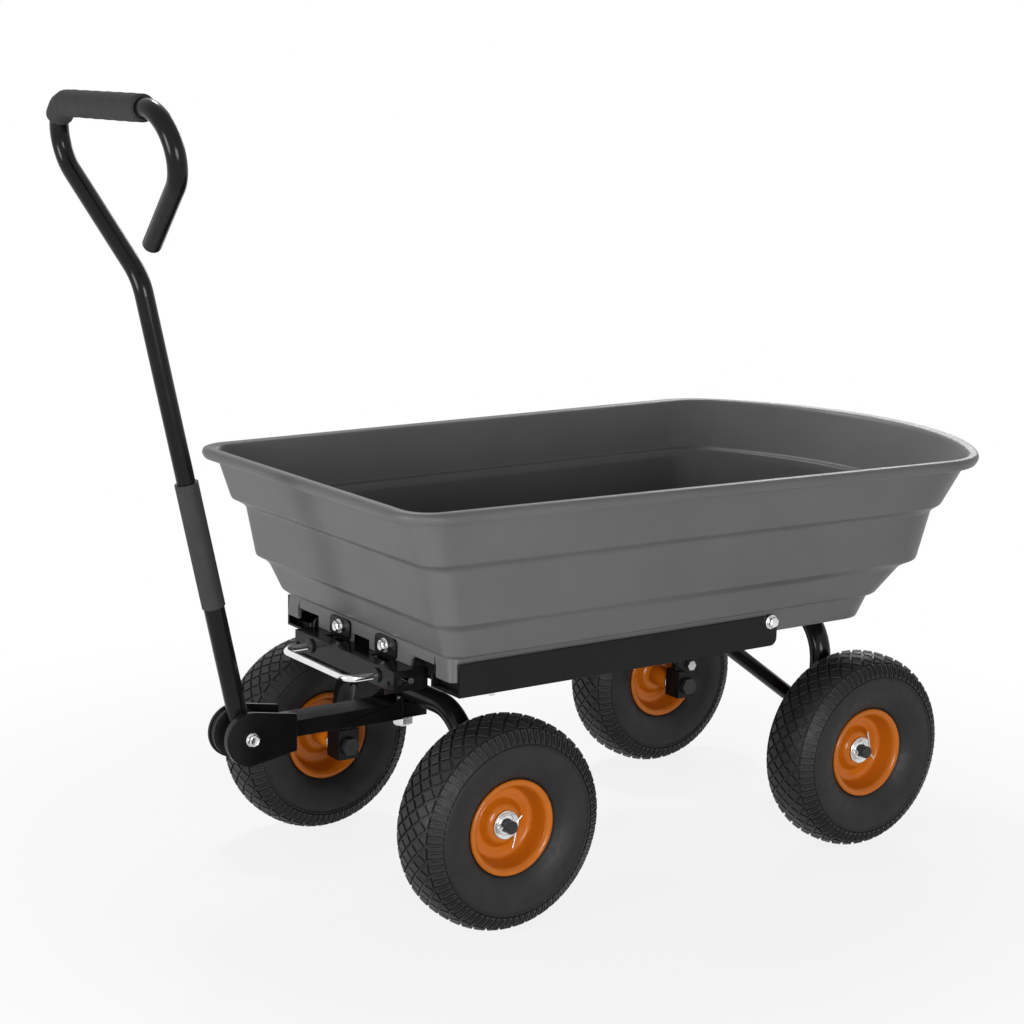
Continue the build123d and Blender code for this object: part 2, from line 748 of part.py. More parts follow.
# the grip covers the straight top and wraps part of the left bend
corner = atan2(top_s - neck_s, -left_corner)
bend_y = left_corner + loop_bend / tan(corner / 2)
with BuildPart() as grip:
    with BuildLine(hand) as hold:
        CenterArc((bend_y, top_s - loop_bend), loop_bend, 90 + grip_wrap, -grip_wrap)
        Line((bend_y, top_s), (grip_to, top_s))
    route = hold.wires()[0]
    with BuildSketch(Plane(origin=route @ 0, z_dir=route % 0)):
        Circle(grip_r)
        Circle(upper_r, mode=Mode.SUBTRACT)
    sweep(path=route)
save(grip, "grip")


# Wheels: tyre on a pressed rim with a steel hub and two bearing bushes
def wheel(name, x, side):
    y = side * track / 2
    section = Plane(origin=(x, y, axle_z), x_dir=(0, side, 0), z_dir=(side, 0, 0))
    spin = Axis((x, y, axle_z), (0, 1, 0))
    w = tyre_half_w / 42.5
    r = tyre_r
    rubber = [
        (0, r), (14 * w, r - 0.8), (27 * w, r - 4), (34 * w, r - 9.5), (40 * w, r - 20),
        (42.5 * w, r - 32), (41.5 * w, r - 47), (36 * w, r - 60), (29 * w, rim_r + 1.5),
    ]
    bead = [(25.2, rim_r - 1.2), (24.8, rim_r - 5.6), (17, rim_r - 5.6)]
    cavity = [(21, rim_r + 4), (33, r - 50), (34, r - 32), (27, r - 14), (0, r - 8)]
    half = rubber + bead + cavity
    mirrored = [(-a, b) for a, b in reversed(half[1:-1])]
    with BuildPart() as tyre:
        with BuildSketch(section):
            with BuildLine():
                Polyline(*half, *mirrored, close=True)
            make_face()
        revolve(axis=spin)
    save(tyre, "tyre_" + name)
    lip = rim_half_w
    face = [
        (14, hub_r), (14, hub_r + 5.5), (10, hub_r + 10), (2.5, hub_r + 13.5), (2.5, rim_r - 18.5),
        (5, rim_r - 14.5), (lip - 5, rim_r - 9.5), (lip - 1, rim_r - 6.5), (lip, rim_r - 2), (lip - 2.5, rim_r),
    ]
    back = [
        (lip - 4.7, rim_r - 1.5), (lip - 4.2, rim_r - 4.5), (lip - 6.5, rim_r - 6.7), (6, rim_r - 12),
        (0, rim_r - 14), (0, hub_r + 11), (8.5, hub_r + 8), (11.5, hub_r + 4), (11.5, hub_r),
    ]
    with BuildPart() as rim:
        for flip in (1, -1):
            with BuildSketch(section):
                with BuildLine():
                    Polyline(*[(flip * a, b) for a, b in face + back], close=True)
                make_face()
            revolve(axis=spin)
    save(rim, "rim_" + name)
    with BuildPart() as hub:
        disc(sideways(x, side * hub_in, axle_z, side), hub_r, hub_out - hub_in, axle_r + run_gap)
    save(hub, "hub_" + name)


for name, x, side in (
    ("front_left", front_x, 1), ("front_right", front_x, -1),
    ("rear_left", rear_x, 1), ("rear_right", rear_x, -1),
):
    wheel(name, x, side)
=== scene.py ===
import math
import bpy
import bmesh
from mathutils import Matrix, Vector


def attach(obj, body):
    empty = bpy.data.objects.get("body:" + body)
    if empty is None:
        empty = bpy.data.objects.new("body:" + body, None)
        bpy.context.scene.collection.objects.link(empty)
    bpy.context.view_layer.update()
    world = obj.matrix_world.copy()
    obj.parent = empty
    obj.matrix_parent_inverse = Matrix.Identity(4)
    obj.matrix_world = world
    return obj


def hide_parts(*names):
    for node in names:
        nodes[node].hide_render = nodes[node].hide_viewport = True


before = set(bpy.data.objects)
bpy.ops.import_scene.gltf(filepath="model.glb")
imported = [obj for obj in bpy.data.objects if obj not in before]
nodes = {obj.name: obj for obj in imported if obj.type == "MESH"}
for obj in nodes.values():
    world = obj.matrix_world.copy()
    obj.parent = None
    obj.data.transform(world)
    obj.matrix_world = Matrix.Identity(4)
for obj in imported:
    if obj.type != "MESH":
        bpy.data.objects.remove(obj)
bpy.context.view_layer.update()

# shared places of the cart, in metres
place = {
    "frontAxle": 0.20827, "rearAxle": -0.36173, "axleHeight": 0.130, "wheelSide": 0.215,
    "skirtFront": 0.26627, "midLength": -0.07673, "tubHinge": -0.21873, "hingeHeight": 0.317,
    "handlePivot": 0.43527, "pivotHeight": 0.216,
}


def stage(text):
    print("scene:", text)


def newObject(name, verts, faces, sharp):
    # smooth mesh with hard edges above an angle in degrees
    mesh = bpy.data.meshes.new(name)
    mesh.from_pydata([tuple(v) for v in verts], [], faces)
    mesh.update()
    bm = bmesh.new()
    bm.from_mesh(mesh)
    bmesh.ops.recalc_face_normals(bm, faces=bm.faces)
    bm.to_mesh(mesh)
    bm.free()
    mesh.polygons.foreach_set("use_smooth", [True] * len(mesh.polygons))
    mesh.set_sharp_from_angle(angle=math.radians(sharp))
    obj = bpy.data.objects.new(name, mesh)
    bpy.context.collection.objects.link(obj)
    return obj


def spline(points, steps):
    # smooth curve through the points, any number of dimensions
    out = []
    last = len(points) - 1
    for i in range(last):
        p0, p1 = points[max(i - 1, 0)], points[i]
        p2, p3 = points[i + 1], points[min(i + 2, last)]
        for k in range(steps):
            t = k / steps
            out.append(tuple(
                0.5 * (2 * b + (c - a) * t + (2 * a - 5 * b + 4 * c - d) * t * t
                       + (3 * b - a - 3 * c + d) * t ** 3)
                for a, b, c, d in zip(p0, p1, p2, p3)))
    out.append(tuple(points[-1]))
    return out


def skin(rings, capFirst=True, capLast=True):
    # closed rings of equally many points, joined by quads
    n = len(rings[0])
    verts = [v for ring in rings for v in ring]
    faces = []
    for i in range(len(rings) - 1):
        for k in range(n):
            j = (k + 1) % n
            faces.append((i * n + k, i * n + j, (i + 1) * n + j, (i + 1) * n + k))
    if capFirst:
        faces.append(tuple(range(n)))
    if capLast:
        faces.append(tuple(reversed(range((len(rings) - 1) * n, len(rings) * n))))
    return verts, faces


def joined(shapes):
    # several shapes as one mesh
    verts, faces = [], []
    for v, f in shapes:
        first = len(verts)
        verts += v
        faces += [tuple(first + i for i in face) for face in f]
    return verts, faces


# materials

def material(name):
    mat = bpy.data.materials.new(name)
    mat.use_nodes = True
    tree = mat.node_tree
    return mat, tree, tree.nodes["Principled BSDF"]


def noise(tree, scale, detail=4.0):
    coord = tree.nodes.new("ShaderNodeTexCoord")
    node = tree.nodes.new("ShaderNodeTexNoise")
    node.inputs["Scale"].default_value = scale
    node.inputs["Detail"].default_value = detail
    node.inputs["Roughness"].default_value = 0.55
    tree.links.new(coord.outputs["Object"], node.inputs["Vector"])
    return node


def ramp(tree, source, stops):
    node = tree.nodes.new("ShaderNodeValToRGB")
    elements = node.color_ramp.elements
    while len(elements) < len(stops):
        elements.new(0.5)
    for element, (pos, colour) in zip(elements, stops):
        element.position = pos
        element.color = (*colour, 1.0)
    tree.links.new(source, node.inputs["Fac"])
    return node


def bump(tree, shader, source, strength, distance, chain=None):
    node = tree.nodes.new("ShaderNodeBump")
    node.inputs["Strength"].default_value = strength
    node.inputs["Distance"].default_value = distance
    tree.links.new(source, node.inputs["Height"])
    if chain is not None:
        tree.links.new(chain.outputs["Normal"], node.inputs["Normal"])
    tree.links.new(node.outputs["Normal"], shader.inputs["Normal"])
    return node


# ends of the drift in each finish, finer scale of its roughness, strength of the grain, roughness of the coat
drift = {"low": 0.3, "high": 0.7, "patches": 2.7, "grainBump": 0.35, "coatRough": 0.08}


def surface(name, low, high, roughLow, roughHigh, scale, grain, grainDepth, metallic=0.0, coat=0.0,
            shine=0.5):
    # colour and roughness drift with a broad noise, with a fine grain in the bump
    mat, tree, shader = material(name)
    broad = noise(tree, scale)
    colour = ramp(tree, broad.outputs["Fac"], [(drift["low"], low), (drift["high"], high)])
    tree.links.new(colour.outputs["Color"], shader.inputs["Base Color"])
    patches = noise(tree, scale * drift["patches"], 5.0)
    rough = ramp(tree, patches.outputs["Fac"],
                 [(drift["low"], (roughLow,) * 3), (drift["high"], (roughHigh,) * 3)])
    tree.links.new(rough.outputs["Color"], shader.inputs["Roughness"])
    fine = noise(tree, grain, 3.0)
    bump(tree, shader, fine.outputs["Fac"], drift["grainBump"], grainDepth)
    shader.inputs["Metallic"].default_value = metallic
    shader.inputs["Coat Weight"].default_value = coat
    shader.inputs["Coat Roughness"].default_value = drift["coatRough"]
    shader.inputs["Specular IOR Level"].default_value = shine
    return mat


# two tones, two roughnesses, scale of the drift, scale and depth of the grain
looks = {
    "tub": surface("tubPlastic", (0.104, 0.104, 0.107), (0.120, 0.120, 0.123), 0.38, 0.43, 9, 900, 0.00008,
                   shine=0.2),
    "black": surface("blackPaint", (0.004, 0.004, 0.0045), (0.007, 0.007, 0.0075), 0.15, 0.24, 14, 260,
                     0.00004, coat=0.08, shine=0.12),
    "bolt": surface("blackBolt", (0.008, 0.008, 0.009), (0.014, 0.014, 0.014), 0.30, 0.45, 60, 900, 0.00004,
                    shine=0.4),
    "zinc": surface("zincPlate", (0.60, 0.61, 0.62), (0.76, 0.76, 0.75), 0.18, 0.32, 70, 700, 0.00003,
                    metallic=1.0),
    "chrome": surface("chromeWire", (0.74, 0.75, 0.77), (0.84, 0.84, 0.85), 0.06, 0.14, 90, 500, 0.00002,
                      metallic=1.0),
    "spring": surface("springWire", (0.35, 0.35, 0.36), (0.5, 0.5, 0.5), 0.25, 0.4, 120, 900, 0.00002,
                      metallic=1.0),
    "orange": surface("orangePaint", (0.46, 0.117, 0.004), (0.52, 0.136, 0.007), 0.18, 0.28, 30, 320,
                      0.00005, coat=0.12, shine=0.2),
    "rubber": surface("tyreRubber", (0.008, 0.008, 0.009), (0.014, 0.014, 0.015), 0.42, 0.60, 35, 700,
                      0.00012, shine=0.27),
    "sleeve": surface("matteSleeve", (0.026, 0.026, 0.026), (0.034, 0.034, 0.034), 0.55, 0.7, 40, 800,
                      0.0001, shine=0.2),
    "plastic": surface("blackPlastic", (0.009, 0.009, 0.010), (0.014, 0.014, 0.015), 0.4, 0.55, 50, 900,
                       0.00006, shine=0.3),
}
foamLook = {
    "cells": 900, "cellBump": 0.5, "cellDepth": 0.0004, "waves": 60, "waveBump": 0.4, "waveDepth": 0.0012,
    # cell tones: the foam's own cell pattern, painted darker in the pits that the bump makes, as painted
    # shade in the pores
    "cellTonesWithPitShade": [(0.0, (0.010, 0.010, 0.011)), (0.7, (0.035, 0.035, 0.037))], "rough": 0.85, "shine": 0.3,
}


def foamMaterial():
    mat, tree, shader = material("foamRubber")
    coord = tree.nodes.new("ShaderNodeTexCoord")
    cells = tree.nodes.new("ShaderNodeTexVoronoi")
    cells.inputs["Scale"].default_value = foamLook["cells"]
    tree.links.new(coord.outputs["Object"], cells.inputs["Vector"])
    # colour from the same cell distance as the bump's height, so the pits get painted shade
    tone = ramp(tree, cells.outputs["Distance"], foamLook["cellTonesWithPitShade"])
    tree.links.new(tone.outputs["Color"], shader.inputs["Base Color"])
    shader.inputs["Roughness"].default_value = foamLook["rough"]
    shader.inputs["Specular IOR Level"].default_value = foamLook["shine"]
    first = bump(tree, shader, cells.outputs["Distance"], foamLook["cellBump"], foamLook["cellDepth"])
    waves = noise(tree, foamLook["waves"])
    bump(tree, shader, waves.outputs["Fac"], foamLook["waveBump"], foamLook["waveDepth"], first)
    return mat


looks["foam"] = foamMaterial()

# shallow panel moulded in the left side of the tub, in metres
panel = {"x": (-0.190, -0.004), "z": (0.388, 0.448), "edge": 0.0012, "depth": 0.0005, "strength": 0.8}


def panelBump(mat):
    tree = mat.node_tree
    shader = tree.nodes["Principled BSDF"]
    coord = tree.nodes.new("ShaderNodeTexCoord")
    parts = tree.nodes.new("ShaderNodeSeparateXYZ")
    tree.links.new(coord.outputs["Object"], parts.inputs["Vector"])
    total = None
    limits = [("X", panel["x"][0], 1), ("X", panel["x"][1], -1),
              ("Z", panel["z"][0], 1), ("Z", panel["z"][1], -1), ("Y", 0.0, 1)]
    for axis, limit, sign in limits:
        step = tree.nodes.new("ShaderNodeMapRange")
        step.interpolation_type = "SMOOTHSTEP"
        step.inputs["From Min"].default_value = limit - sign * panel["edge"]
        step.inputs["From Max"].default_value = limit + sign * panel["edge"]
        tree.links.new(parts.outputs[axis], step.inputs["Value"])
        if total is None:
            total = step.outputs["Result"]
            continue
        product = tree.nodes.new("ShaderNodeMath")
        product.operation = "MULTIPLY"
        tree.links.new(total, product.inputs[0])
        tree.links.new(step.outputs["Result"], product.inputs[1])
        total = product.outputs["Value"]
    grain = shader.inputs["Normal"].links[0].from_node
    bump(tree, shader, total, panel["strength"], panel["depth"], grain)


panelBump(looks["tub"])


def softEdges(mat, radius):
    # edges catch the light as on rounded, painted steel
    tree = mat.node_tree
    first = tree.nodes["Principled BSDF"].inputs["Normal"].links[0].from_node
    edges = tree.nodes.new("ShaderNodeBevel")
    edges.samples = 4
    edges.inputs["Radius"].default_value = radius
    tree.links.new(edges.outputs["Normal"], first.inputs["Normal"])


edgeRadius = 0.0016
softEdges(looks["black"], edgeRadius)

finishOf = {
    "black": ["rail_left", "rail_right", "bolster", "latch_bar", "strike_tabs", "rear_arch", "arch_saddles",
              "struts", "rear_brackets", "front_arch", "king_sleeve", "tongue", "gussets", "clevis_plates",
              "front_brackets", "handle_eye", "handle_tube", "handle_loop"],
    "sleeve": ["handle_sleeve"],
    "bolt": ["pivot_bolts", "pivot_washers", "tab_bolts", "tab_washers", "clevis_bolt", "front_axles",
             "rear_axles"],
    "zinc": ["rail_bolts", "rail_nuts", "pivot_nuts", "kingpin", "kingpin_nut", "tub_nuts", "floor_screws",
             "clevis_nut", "front_washers", "rear_washers", "front_pins", "rear_pins"],
    "chrome": ["latch_wire"],
    "spring": ["latch_springs", "strut_bolts"],
    "plastic": ["wire_collars", "hinge_bushes", "friction_discs"],
    "tub": ["tub"],
    "foam": ["grip"],
}
corners = ("front_left", "front_right", "rear_left", "rear_right")
finishOf["orange"] = ["rim_" + c for c in corners] + ["hub_" + c for c in corners]
finishOf["rubber"] = ["tyre_" + c for c in corners]
for finish, names in finishOf.items():
    for name in names:
        mesh = nodes[name].data
        mesh.materials.clear()
        mesh.materials.append(looks[finish])
stage("materials")


def dress(obj, look, body, slot, *replaced):
    obj.data.materials.clear()
    obj.data.materials.append(looks[look])
    if replaced:
        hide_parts(*replaced)
    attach(obj, body)
    return obj


# tub

tubShape = {
    "skirtHalf": 197.0, "skirtRear": 64.0, "bowLow": 520.0, "bowTop": 385.0, "wall": 4.0, "rimTop": 523.0,
    "skirtBottom": 302.0, "floorTop": 336.0, "stepRound": 3.6, "lip": 17.0, "lipHeight": 14.0,
    "taper": 0.045, "ledgeLift": 4.0, "ledges": (4, 7), "skirtCorner": 10.0, "bandStart": 328.0,
    "bandBlend": 8.0, "bandCorner": 24.0, "bandCornerGrowth": 10.0, "rearCorner": 46.0,
    "rearCornerGrowth": 50.0, "frontSteps": 14, "cornerSteps": 10, "sideSteps": 30, "rearSteps": 16,
    "bowSteps": 20, "sharp": 42,
    # middle, half width and top of each notch in the front edge, and the run of its steep ends
    "notches": [(-8.0, 21.0, 313.0), (137.0, 26.0, 316.5), (-137.0, 26.0, 316.5)], "notchRun": 0.1,
}
# rise of each part of the wall, and its growth at the front, the sides and the rear
wallParts = [
    (28.0, 0.0, 0.0, 20.0), (6.0, 7.0, 18.0, 3.0), (34.0, 15.0, 10.0, 38.0), (4.5, 4.0, 4.0, 7.0),
    (6.0, 10.0, 8.0, 18.0), (65.0, 14.0, 8.0, 24.0), (4.5, 4.0, 4.0, 5.0), (6.0, 11.0, 9.0, 9.0),
    (49.0, 16.0, 11.0, 42.0),
]
tubLevels = [(tubShape["skirtBottom"], 0.0, 0.0, 0.0)]
for part in wallParts:
    tubLevels.append(tuple(a + b for a, b in zip(tubLevels[-1], part)))


def levelAt(z):
    for low, high in zip(tubLevels, tubLevels[1:]):
        if z <= high[0]:
            break
    t = (z - low[0]) / (high[0] - low[0])
    return tuple(a + (b - a) * t for a, b in zip(low, high))


# places along the front edge, with a pair of points at each end of a notch
frontSteps = [k / tubShape["frontSteps"] for k in range(tubShape["frontSteps"])]
frontReach = tubShape["skirtHalf"] - tubShape["skirtCorner"]
for centre, half, level in tubShape["notches"]:
    for edge in (abs(centre - half), abs(centre + half)):
        frontSteps += [(edge + side * tubShape["notchRun"] / 2) / frontReach for side in (-1, 1)]
frontSteps = sorted(set(frontSteps))


def notched(ring, bottom):
    # lifts the lower edge of the skirt where the front is notched
    front = max(v.x for v in ring)
    for v in ring:
        for centre, half, level in tubShape["notches"]:
            if v.x > front - 0.001 and abs(v.y * 1000 - centre) < half:
                v.z = max(v.z, (level + bottom) * 0.001)
    return ring


def tubRing(z, fwd, out, back, grow):
    # closed outline of the tub at one level, in metres
    rise = (z - tubShape["skirtBottom"]) / (tubShape["rimTop"] - tubShape["skirtBottom"])
    frontX = place["skirtFront"] * 1000 + fwd + grow
    rearX = place["rearAxle"] * 1000 - tubShape["skirtRear"] - back - grow
    half = tubShape["skirtHalf"] + out + grow
    bow = tubShape["bowLow"] + (tubShape["bowTop"] - tubShape["bowLow"]) * rise
    side = Vector((1, -tubShape["taper"] * rise)).normalized()
    inward = Vector((side.y, -side.x))
    rear = tubShape["rearCorner"] + tubShape["rearCornerGrowth"] * rise + grow
    # the skirt has tighter front corners than the bands
    band = min(max((z - tubShape["bandStart"]) / tubShape["bandBlend"], 0.0), 1.0)
    wide = tubShape["bandCorner"] + tubShape["bandCornerGrowth"] * rise
    front = tubShape["skirtCorner"] + band * (wide - tubShape["skirtCorner"]) + grow
    # middles of the rear corner, which touches side and bow, and of the front corner
    origin = Vector((place["midLength"] * 1000, half))
    base = origin + inward * rear
    bowMiddle = Vector((rearX + bow, 0))
    d = base - bowMiddle
    b = d.dot(side)
    c = d.length_squared - (bow - rear) ** 2
    rearMiddle = base + side * (-b - math.sqrt(b * b - c))
    base = origin + inward * front
    frontMiddle = base + side * ((frontX - front - base.x) / side.x)
    points = [(frontX, frontMiddle.y * t) for t in frontSteps]

    def arc(middle, radius, start, end, steps, first=0):
        for k in range(first, steps + 1):
            a = start + (end - start) * k / steps
            points.append((middle.x + radius * math.cos(a), middle.y + radius * math.sin(a)))

    sideAngle = math.atan2(-inward.y, -inward.x)
    bowAngle = math.atan2((rearMiddle - bowMiddle).y, (rearMiddle - bowMiddle).x)
    arc(frontMiddle, front, 0.0, sideAngle, tubShape["cornerSteps"])
    for k in range(1, tubShape["sideSteps"]):
        p = (frontMiddle - inward * front).lerp(rearMiddle - inward * rear, k / tubShape["sideSteps"])
        points.append((p.x, p.y))
    arc(rearMiddle, rear, sideAngle, bowAngle, tubShape["rearSteps"])
    arc(bowMiddle, bow, bowAngle, math.pi, tubShape["bowSteps"], 1)
    mirrored = [(x, -y) for x, y in reversed(points[1:-1])]
    return [Vector((x, y, z)) * 0.001 for x, y in points + mirrored]


def rounded(path, radius, steps=5):
    # rounds the corners of a path of any dimension by quadratic curves
    out = [tuple(path[0])]
    for a, b, c in zip(path, path[1:], path[2:]):
        la, lc = math.dist(a, b), math.dist(c, b)
        ra, rc = min(radius, la * 0.48), min(radius, lc * 0.48)
        start = [q + (p - q) * ra / la for p, q in zip(a, b)]
        end = [q + (p - q) * rc / lc for p, q in zip(c, b)]
        for k in range(steps + 1):
            t = k / steps
            out.append(tuple(u * (1 - t) ** 2 + v * 2 * t * (1 - t) + w * t * t
                             for u, v, w in zip(start, b, end)))
    out.append(tuple(path[-1]))
    return out


def buildTub():
    wall, lip, top, ground = (tubShape[k] for k in ("wall", "lip", "rimTop", "floorTop"))
    low = top - tubShape["lipHeight"]
    # each entry of the path: height, growth at the front, sides and rear, and the offset of the surface
    outside = [(*level, 0.0) for level in tubLevels[1:9]]
    edge = [(z, *levelAt(z)[1:], g) for z, g in (
        (top - wall - 1.5, 0.0), (top - wall, lip - wall - 2), (top - wall - 3, lip - wall),
        (low, lip - wall + 0.6), (low, lip - 1), (top - 9, lip + 0.4), (top - 5, lip - 0.6),
        (top - 1.8, lip - 3.4), (top, lip - 8), (top - 0.8, 3.0), (top - 1.4, -wall * 0.5),
        (top - 5, -wall))]
    # the ledges are flatter inside than outside
    inside = []
    for k in range(8, 2, -1):
        lift = tubShape["ledgeLift"] if k in tubShape["ledges"] else 0.0
        inside.append((tubLevels[k][0] + lift, *tubLevels[k][1:], -wall))
    inside.append((ground + 2, *levelAt(ground + 2)[1:], -wall - 1))
    path = rounded(outside + edge + inside, tubShape["stepRound"])
    skirt = tubLevels[0]
    rings = [tubRing(ground - 5, *skirt[1:], -wall), notched(tubRing(*skirt, -wall), 0.0),
             notched(tubRing(*skirt, -0.8), 0.0), notched(tubRing(skirt[0] + 0.8, *skirt[1:], 0.0), 0.8)]
    rings += [tubRing(*entry) for entry in path]
    rings.append(tubRing(ground, *levelAt(ground)[1:], -wall - 5))
    return newObject("tubShell", *skin(rings), tubShape["sharp"])


dress(buildTub(), "tub", "tub", "tub_grey", "tub")
stage("tub")


# wheels

def turned(line, sides):
    # section of (out, radius) pairs turned about the axle
    angles = [2 * math.pi * k / sides for k in range(sides)]
    rings = [[Vector((r * math.cos(a), out, r * math.sin(a))) for a in angles] for out, r in line]
    return skin(rings, False, False)


def onWheels(name, shape, sharp, look, slot, node):
    # one mesh at all four corners of the cart
    verts, faces = shape
    first = newObject(name + corners[0], [v * 0.001 for v in verts], faces, sharp)
    for corner in corners:
        piece = first
        if corner != corners[0]:
            piece = bpy.data.objects.new(name + corner, first.data)
            bpy.context.collection.objects.link(piece)
        x = place["frontAxle"] if "front" in corner else place["rearAxle"]
        y = place["wheelSide"] * (1 if "left" in corner else -1)
        piece.location = (x, y, place["axleHeight"])
        bpy.context.view_layer.update()
        dress(piece, look, "wheel_" + corner, slot, node + corner)


tyreShape = {
    "radius": 130.0, "blocksRound": 40, "columns": 2, "columnStep": 10.3, "blockInset": 2.32,
    "blockHeight": 2.4, "blockTaper": 0.5, "blockTop": 0.9, "sunk": 0.6, "shoulderGap": 1.74,
    "ribHeight": 2.0, "ribLength": 17.0, "ribWidth": 0.195, "ribNarrow": 0.94, "ribTaper": 0.4,
    "ribTop": 0.95, "lineWidth": 0.9, "lineHeight": 0.6, "lineInset": 3.0, "lineTaper": 0.3, "lineTop": 0.9,
    "ring": 102.6, "ringHalf": 1.0, "ringHeight": 1.5, "segments": 120, "sharp": 34,
}
# half section as (out, radius), from the crown to the bead
tyreProfile = [
    (0, 127.6), (12, 127.1), (23, 124.5), (32, 118.8), (38.2, 109.5), (41.4, 99), (41.0, 85), (36.6, 72),
    (31, 63.5), (27.5, 60.0), (25.2, 57.5), (24.8, 53.6),
]


def tyreMesh():
    # section with a small ring on the sidewall
    half = []
    for out, r in spline(tyreProfile, 10):
        onRing = out > 30 and abs(r - tyreShape["ring"]) < tyreShape["ringHalf"]
        half.append((out + (tyreShape["ringHeight"] if onRing else 0.0), r))
    line = [(-out, r) for out, r in reversed(half[1:])] + half
    shapes = [turned(line, tyreShape["segments"])]
    lengths = [0.0]
    for p, q in zip(half, half[1:]):
        lengths.append(lengths[-1] + math.dist(p, q))

    def at(s, h):
        # point on the section at distance s from the crown, raised by h
        sign = 1 if s >= 0 else -1
        s = abs(s)
        i = 0
        while i < len(lengths) - 2 and lengths[i + 1] < s:
            i += 1
        t = (s - lengths[i]) / (lengths[i + 1] - lengths[i])
        (o0, r0), (o1, r1) = half[i], half[i + 1]
        tangent = Vector((o1 - o0, r1 - r0)).normalized()
        normal = Vector((-tangent.y, tangent.x))
        p = Vector((o0 + (o1 - o0) * t, r0 + (r1 - r0) * t)) + normal * h
        return sign * p.x, p.y

    def block(outline, height, taper, shrink):
        # raised block whose outline is given as (distance, arc at the tread)
        cs = sum(c[0] for c in outline) / len(outline)
        ca = sum(c[1] for c in outline) / len(outline)
        rings = []
        for h, scale in ((-tyreShape["sunk"], 1.0), (height - taper, 1.0), (height, shrink)):
            ring = []
            for s, a in outline:
                turn = (ca + (a - ca) * scale) / tyreShape["radius"]
                out, r = at(cs + (s - cs) * scale, h)
                ring.append(Vector((r * math.cos(turn), out, r * math.sin(turn))))
            rings.append(ring)
        shapes.append(skin(rings, False, True))

    diamond = [tyreShape[k] for k in ("blockHeight", "blockTaper", "blockTop")]
    rib = [tyreShape[k] for k in ("ribHeight", "ribTaper", "ribTop")]
    lineRise = tyreShape["ribHeight"] + tyreShape["lineHeight"]
    thinLine = [lineRise, tyreShape["lineTaper"], tyreShape["lineTop"]]
    step, columns, count = (tyreShape[k] for k in ("columnStep", "columns", "blocksRound"))
    pitch = 2 * math.pi * tyreShape["radius"] / count
    gs = step - tyreShape["blockInset"]
    ga = pitch / 2 - tyreShape["blockInset"]
    for col in range(-columns, columns + 1):
        s = col * step
        for k in range(count):
            a = (k + 0.5 * (col % 2)) * pitch
            block([(s - gs, a), (s, a - ga), (s + gs, a), (s, a + ga)], *diamond)
    edge = (columns + 1) * step
    inner = edge + tyreShape["shoulderGap"]
    end = inner + tyreShape["ribLength"]
    w = pitch * tyreShape["ribWidth"]
    thin = tyreShape["lineWidth"] / 2
    inset = tyreShape["lineInset"]
    for side in (1, -1):
        for k in range(count):
            # half diamonds close the tread at the shoulder
            a = (k + 0.5 * ((columns + 1) % 2)) * pitch
            block([(side * (edge - gs), a), (side * edge, a - ga), (side * edge, a + ga)], *diamond)
        for k in range(2 * count):
            a = k * pitch / 2
            for low, high, lowHalf, highHalf, sizes in (
                    (inner, end, w, w * tyreShape["ribNarrow"], rib),
                    (inner + inset, end - inset, thin, thin, thinLine)):
                block([(side * low, a - lowHalf), (side * high, a - highHalf), (side * high, a + highHalf),
                       (side * low, a + lowHalf)], *sizes)
    return joined(shapes)


onWheels("tyreTread_", tyreMesh(), tyreShape["sharp"], "rubber", "tyre", "tyre_")
stage("tyres")

rimShape = {"lipRadius": 59.0, "lipOut": 30.5, "segments": 72, "sharp": 50}


def rimMesh():
    lip, r = rimShape["lipOut"], rimShape["lipRadius"]
    face = spline([
        (14.0, 15.0), (14.0, 18.5), (13.4, 21.0), (11.0, 24.5), (6.0, 28.0), (3.0, 30.5), (2.6, 35.0),
        (2.7, 39.5), (4.5, 43.4), (9.0, 45.6), (lip - 6.5, r - 9.8), (lip - 2.6, r - 8.0),
        (lip - 0.3, r - 5.2), (lip, r - 2.6), (lip - 1.2, r - 0.6), (lip - 3.0, r), (lip - 4.6, r - 1.4),
    ], 4)
    back = [(lip - 4.4, r - 4.0), (lip - 6.5, r - 6.7), (6.0, r - 11.5), (0.0, r - 13.5)]
    line = face + back
    line += [(-out, q) for out, q in reversed(line[:-1])]
    return turned(line, rimShape["segments"])


onWheels("rimDish_", rimMesh(), rimShape["sharp"], "orange", "rim_orange", "rim_")
stage("rims")


# fasteners

boltShape = {
    "rounding": 0.9, "cornerCut": 0.93, "washerSides": 48, "headSides": 48, "stemSides": 32, "sharp": 30,
    "tabSide": 54.0, "tabFace": 3.03, "railSide": 203.0, "clevisSide": 25.3,
    # width across flats, head height, washer radius and thickness, shank radius and length
    "tabSizes": (13.0, 5.6, 9.0, 2.0, 4.0, 17.0), "pivotSizes": (13.0, 6.5, 9.5, 2.0, 6.0, 34.0),
    "clevisSizes": (13.0, 5.6, 8.5, 1.6, 5.0, 60.0),
}
tabX, hingeX, clevisX, hingeZ, clevisZ = (1000 * place[k] for k in (
    "skirtFront", "tubHinge", "handlePivot", "hingeHeight", "pivotHeight"))
tabX += boltShape["tabFace"]
# body, replaced nodes, and for each bolt the face under its washer, the axis out of its head and its sizes
boltSets = {
    "tabBolts": ("tub", ("tab_bolts", "tab_washers"), [
        ((tabX, side * boltShape["tabSide"], hingeZ), (1, 0, 0), *boltShape["tabSizes"])
        for side in (1, -1)]),
    "pivotBolts": ("frame", ("pivot_bolts", "pivot_washers"), [
        ((hingeX, side * boltShape["railSide"], hingeZ), (0, side, 0), *boltShape["pivotSizes"])
        for side in (1, -1)]),
    "clevisBolt": ("front_axle", ("clevis_bolt",), [
        ((clevisX, boltShape["clevisSide"], clevisZ), (0, 1, 0), *boltShape["clevisSizes"])]),
}


